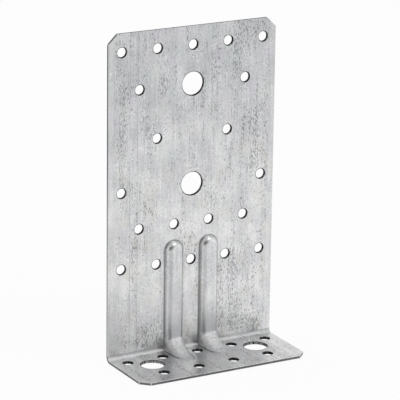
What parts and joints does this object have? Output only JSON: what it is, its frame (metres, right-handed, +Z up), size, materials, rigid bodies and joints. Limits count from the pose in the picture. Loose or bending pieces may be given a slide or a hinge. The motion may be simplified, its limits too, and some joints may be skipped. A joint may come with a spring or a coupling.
{
  "type": "reinforced angle bracket",
  "caption": "Galvanised sheet-steel angle bracket: tall punched upright, short punched foot, pressed ribs stiffening the fold.",
  "frame": {"origin": "middle of the box's base: half way across the width, half way between the upright's back face and the foot's free edge, on the foot's underside", "axes": "+Z up the upright, +Y out through the upright's back face, +X across the width to the right when looking at the ribs"},
  "size_m": [0.095, 0.04, 0.17],
  "materials": {
    "galvanised_steel": "hot-dip galvanised, dull light grey with fine dark specks and soft streaks"
  },
  "bodies": {
    "root": {"bracket": "galvanised_steel"}
  },
  "joints": []
}
